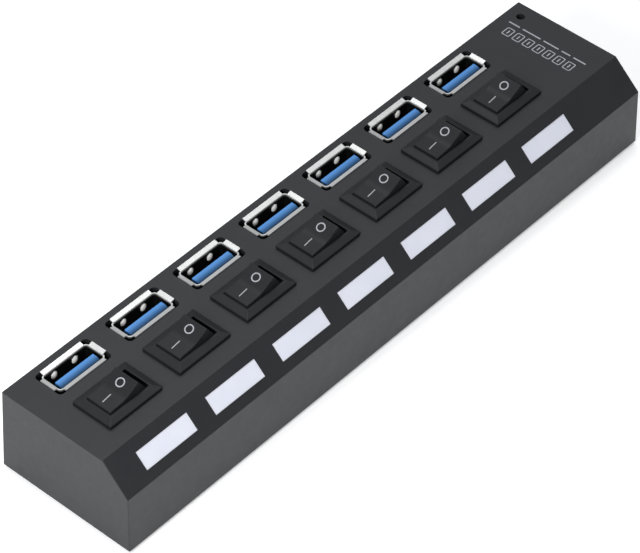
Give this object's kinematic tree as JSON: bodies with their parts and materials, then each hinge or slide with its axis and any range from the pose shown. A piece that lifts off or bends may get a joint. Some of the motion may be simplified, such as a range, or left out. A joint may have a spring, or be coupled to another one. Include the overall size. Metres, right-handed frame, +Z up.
{
  "type": "usb hub",
  "caption": "Long desktop USB hub: upright sockets on top, each with its own rocker switch and a lit window on a sloping front face.",
  "frame": {"origin": "middle of the overall box, on the plane that the rubber feet stand on", "axes": "+X along the hub towards the cable end, -Y towards the sloping face with the windows, +Z up out of the sockets"},
  "size_m": [0.1638, 0.0354, 0.0262],
  "materials": {
    "casing": "fine spark-eroded texture",
    "screw_steel": "zinc plated",
    "rubber": "matte",
    "board": "solder resist over glass-fibre board",
    "chip_plastic": "moulded epoxy",
    "can_aluminium": "drawn can",
    "lamp_plastic": "clear epoxy lamp",
    "window_plastic": "milky, slightly lilac, lets light through",
    "contact_metal": "gold flashed",
    "socket_steel": "nickel plated",
    "insulator_plastic": "blue thermoplastic",
    "switch_plastic": "semi-gloss black nylon"
  },
  "bodies": {
    "hub": {"top_shell": "casing", "bottom_cover": "casing", "case_screws": "screw_steel", "rubber_feet": "rubber", "circuit_board": "board", "hub_chips": "chip_plastic", "capacitors": "can_aluminium", "indicator_leds": "lamp_plastic", "status_light_pipe": "window_plastic", "window_strip": "window_plastic", "port_contacts": "contact_metal", "switch_terminals": "contact_metal", "upstream_socket_shell": "socket_steel", "upstream_socket_insert": "insulator_plastic", "upstream_contacts": "contact_metal", "power_jack_body": "switch_plastic", "power_jack_pin": "contact_metal", "usb_shell_1": "socket_steel", "usb_insulator_1": "insulator_plastic", "switch_body_1": "switch_plastic", "usb_shell_2": "socket_steel", "usb_insulator_2": "insulator_plastic", "switch_body_2": "switch_plastic", "usb_shell_3": "socket_steel", "usb_insulator_3": "insulator_plastic", "switch_body_3": "switch_plastic", "usb_shell_4": "socket_steel", "usb_insulator_4": "insulator_plastic", "switch_body_4": "switch_plastic", "usb_shell_5": "socket_steel", "usb_insulator_5": "insulator_plastic", "switch_body_5": "switch_plastic", "usb_shell_6": "socket_steel", "usb_insulator_6": "insulator_plastic", "switch_body_6": "switch_plastic", "usb_shell_7": "socket_steel", "usb_insulator_7": "insulator_plastic", "switch_body_7": "switch_plastic"},
    "rocker_1": {"rocker_1": "switch_plastic", "switch_plunger_1": "contact_metal"},
    "lever_1": {"switch_lever_1": "contact_metal"},
    "rocker_2": {"rocker_2": "switch_plastic", "switch_plunger_2": "contact_metal"},
    "lever_2": {"switch_lever_2": "contact_metal"},
    "rocker_3": {"rocker_3": "switch_plastic", "switch_plunger_3": "contact_metal"},
    "lever_3": {"switch_lever_3": "contact_metal"},
    "rocker_4": {"rocker_4": "switch_plastic", "switch_plunger_4": "contact_metal"},
    "lever_4": {"switch_lever_4": "contact_metal"},
    "rocker_5": {"rocker_5": "switch_plastic", "switch_plunger_5": "contact_metal"},
    "lever_5": {"switch_lever_5": "contact_metal"},
    "rocker_6": {"rocker_6": "switch_plastic", "switch_plunger_6": "contact_metal"},
    "lever_6": {"switch_lever_6": "contact_metal"},
    "rocker_7": {"rocker_7": "switch_plastic", "switch_plunger_7": "contact_metal"},
    "lever_7": {"switch_lever_7": "contact_metal"}
  },
  "joints": [
    {"name": "rocker_hinge_1", "type": "hinge", "parent": "hub", "child": "rocker_1", "pos_m": [-0.06695, -0.0009, 0.02047], "axis": [0, 1, 0], "range_deg": [0, 34]},
    {"name": "lever_hinge_1", "type": "hinge", "parent": "hub", "child": "lever_1", "pos_m": [-0.06695, -0.0009, 0.0144], "axis": [0, 1, 0], "range_deg": [-17, 0]},
    {"name": "rocker_hinge_2", "type": "hinge", "parent": "hub", "child": "rocker_2", "pos_m": [-0.04695, -0.0009, 0.02047], "axis": [0, 1, 0], "range_deg": [0, 34]},
    {"name": "lever_hinge_2", "type": "hinge", "parent": "hub", "child": "lever_2", "pos_m": [-0.04695, -0.0009, 0.0144], "axis": [0, 1, 0], "range_deg": [-17, 0]},
    {"name": "rocker_hinge_3", "type": "hinge", "parent": "hub", "child": "rocker_3", "pos_m": [-0.02695, -0.0009, 0.02047], "axis": [0, 1, 0], "range_deg": [0, 34]},
    {"name": "lever_hinge_3", "type": "hinge", "parent": "hub", "child": "lever_3", "pos_m": [-0.02695, -0.0009, 0.0144], "axis": [0, 1, 0], "range_deg": [-17, 0]},
    {"name": "rocker_hinge_4", "type": "hinge", "parent": "hub", "child": "rocker_4", "pos_m": [-0.00695, -0.0009, 0.02047], "axis": [0, 1, 0], "range_deg": [0, 34]},
    {"name": "lever_hinge_4", "type": "hinge", "parent": "hub", "child": "lever_4", "pos_m": [-0.00695, -0.0009, 0.0144], "axis": [0, 1, 0], "range_deg": [-17, 0]},
    {"name": "rocker_hinge_5", "type": "hinge", "parent": "hub", "child": "rocker_5", "pos_m": [0.01305, -0.0009, 0.02047], "axis": [0, 1, 0], "range_deg": [0, 34]},
    {"name": "lever_hinge_5", "type": "hinge", "parent": "hub", "child": "lever_5", "pos_m": [0.01305, -0.0009, 0.0144], "axis": [0, 1, 0], "range_deg": [-17, 0]},
    {"name": "rocker_hinge_6", "type": "hinge", "parent": "hub", "child": "rocker_6", "pos_m": [0.03305, -0.0009, 0.02047], "axis": [0, 1, 0], "range_deg": [0, 34]},
    {"name": "lever_hinge_6", "type": "hinge", "parent": "hub", "child": "lever_6", "pos_m": [0.03305, -0.0009, 0.0144], "axis": [0, 1, 0], "range_deg": [-17, 0]},
    {"name": "rocker_hinge_7", "type": "hinge", "parent": "hub", "child": "rocker_7", "pos_m": [0.05305, -0.0009, 0.02047], "axis": [0, 1, 0], "range_deg": [0, 34]},
    {"name": "lever_hinge_7", "type": "hinge", "parent": "hub", "child": "lever_7", "pos_m": [0.05305, -0.0009, 0.0144], "axis": [0, 1, 0], "range_deg": [-17, 0]}
  ],
  "couplings": [
    {"joint": "lever_hinge_1", "follows": "rocker_hinge_1", "ratio": -0.5},
    {"joint": "lever_hinge_2", "follows": "rocker_hinge_2", "ratio": -0.5},
    {"joint": "lever_hinge_3", "follows": "rocker_hinge_3", "ratio": -0.5},
    {"joint": "lever_hinge_4", "follows": "rocker_hinge_4", "ratio": -0.5},
    {"joint": "lever_hinge_5", "follows": "rocker_hinge_5", "ratio": -0.5},
    {"joint": "lever_hinge_6", "follows": "rocker_hinge_6", "ratio": -0.5},
    {"joint": "lever_hinge_7", "follows": "rocker_hinge_7", "ratio": -0.5}
  ]
}
